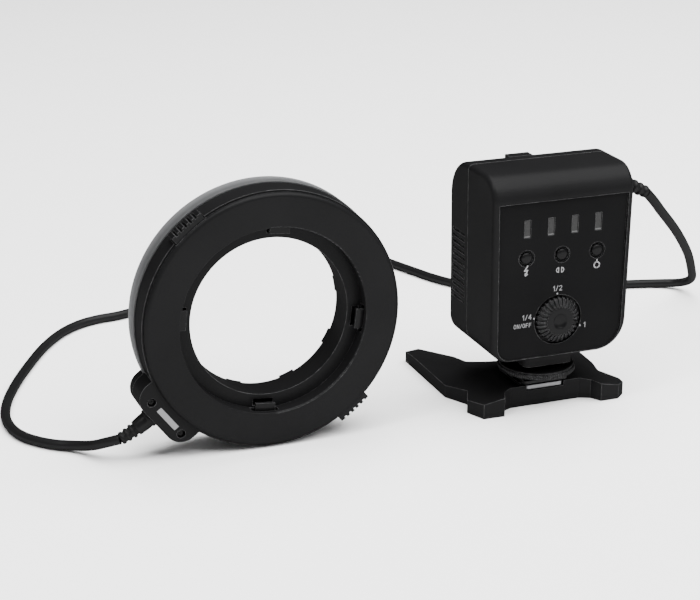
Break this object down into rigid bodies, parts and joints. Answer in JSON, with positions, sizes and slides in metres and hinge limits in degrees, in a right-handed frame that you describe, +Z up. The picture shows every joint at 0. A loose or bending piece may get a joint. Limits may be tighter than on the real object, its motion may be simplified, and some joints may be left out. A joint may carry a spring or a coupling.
{
  "type": "ring flash",
  "caption": "Macro ring flash: ring light head with lens-adapter recess and release buttons, joined by a cord to a hot-shoe battery controller on a table stand.",
  "frame": {"origin": "on the floor under the centre of the hot-shoe foot, at the mouth of the stand's tripod socket", "axes": "+X to the right of someone facing the control panel, +Y away from them, +Z up; the ring head stands at -X, its adapter side towards -Y"},
  "size_m": [0.3841, 0.3212, 0.1164],
  "materials": {
    "shell_plastic": "fine satin texture",
    "panel_plastic": "satin",
    "frame_plastic": "moulded",
    "diffuser_plastic": "translucent",
    "window_plastic": "translucent smoke",
    "label": "satin",
    "cord_rubber": "satin",
    "circuit_board": "lacquered",
    "light_emitter": "matte",
    "component_black": "moulded",
    "steel": "plated",
    "foot_metal": "anodised grey",
    "black_metal": "black finish",
    "brass": "turned",
    "spring_steel": "drawn wire",
    "cell_jacket": "satin jacket"
  },
  "bodies": {
    "flash": {"rear_cover": "shell_plastic", "front_housing": "shell_plastic", "boss_cover": "shell_plastic", "boss_screws": "black_metal", "cover_screws": "steel", "label_plate": "label", "led_board": "circuit_board", "leds": "light_emitter", "diffuser": "diffuser_plastic", "release_springs_upper": "spring_steel", "release_springs_lower": "spring_steel", "head_strain_relief": "cord_rubber", "case_strain_relief": "cord_rubber", "cord": "cord_rubber", "front_shell": "shell_plastic", "control_panel": "panel_plastic", "light_guides": "window_plastic", "tact_switches": "component_black", "indicator_leds": "light_emitter", "main_board": "circuit_board", "potentiometer": "component_black", "cells": "cell_jacket", "battery_box": "frame_plastic", "battery_contacts": "steel", "contact_springs": "spring_steel", "case_screws": "steel", "foot_block": "shell_plastic", "foot_post": "frame_plastic", "foot_plate": "foot_metal", "contact_pin": "brass"},
    "release_upper": {"release_frame_upper": "frame_plastic"},
    "release_lower": {"release_frame_lower": "frame_plastic"},
    "button_left": {"button_left": "frame_plastic"},
    "button_middle": {"button_middle": "frame_plastic"},
    "button_right": {"button_right": "frame_plastic"},
    "dial": {"dial": "frame_plastic"},
    "battery_door": {"battery_cover": "shell_plastic"},
    "clamp": {"clamp_plate": "black_metal"},
    "wheel": {"lock_wheel": "frame_plastic"},
    "stand": {"stand_body": "shell_plastic", "tripod_insert": "brass"}
  },
  "joints": [
    {"name": "release_upper_press", "type": "slide", "parent": "flash", "child": "release_upper", "axis": [0.6293, 0, -0.7771], "range_m": [0, 0.002], "stiffness_N_per_m": 600, "deforming": ["release_springs_upper"]},
    {"name": "release_lower_press", "type": "slide", "parent": "flash", "child": "release_lower", "axis": [-0.6293, 0, 0.7771], "range_m": [0, 0.002], "stiffness_N_per_m": 600, "deforming": ["release_springs_lower"]},
    {"name": "button_left_press", "type": "slide", "parent": "flash", "child": "button_left", "axis": [0, 1, 0], "range_m": [0, 0.0006], "stiffness_N_per_m": 1500},
    {"name": "button_middle_press", "type": "slide", "parent": "flash", "child": "button_middle", "axis": [0, 1, 0], "range_m": [0, 0.0006], "stiffness_N_per_m": 1500},
    {"name": "button_right_press", "type": "slide", "parent": "flash", "child": "button_right", "axis": [0, 1, 0], "range_m": [0, 0.0006], "stiffness_N_per_m": 1500},
    {"name": "dial_turn", "type": "hinge", "parent": "flash", "child": "dial", "pos_m": [-0.0009, -0.0213, 0.0452], "axis": [0, 1, 0], "range_deg": [0, 195]},
    {"name": "battery_door_slide", "type": "slide", "parent": "flash", "child": "battery_door", "axis": [0, 0, 1], "range_m": [0, 0.008]},
    {"name": "wheel_turn", "type": "hinge", "parent": "clamp", "child": "wheel", "pos_m": [0, 0, 0.016], "axis": [0, 0, 1], "range_deg": [0, 360]},
    {"name": "clamp_lift", "type": "slide", "parent": "flash", "child": "clamp", "axis": [0, 0, 1], "range_m": [0, 0.0015]},
    {"name": "stand_slide", "type": "slide", "parent": "flash", "child": "stand", "axis": [0, 1, 0], "range_m": [0, 0.02]}
  ],
  "couplings": [
    {"joint": "wheel_turn", "follows": "clamp_lift", "rad_per_m": 4188.8}
  ]
}
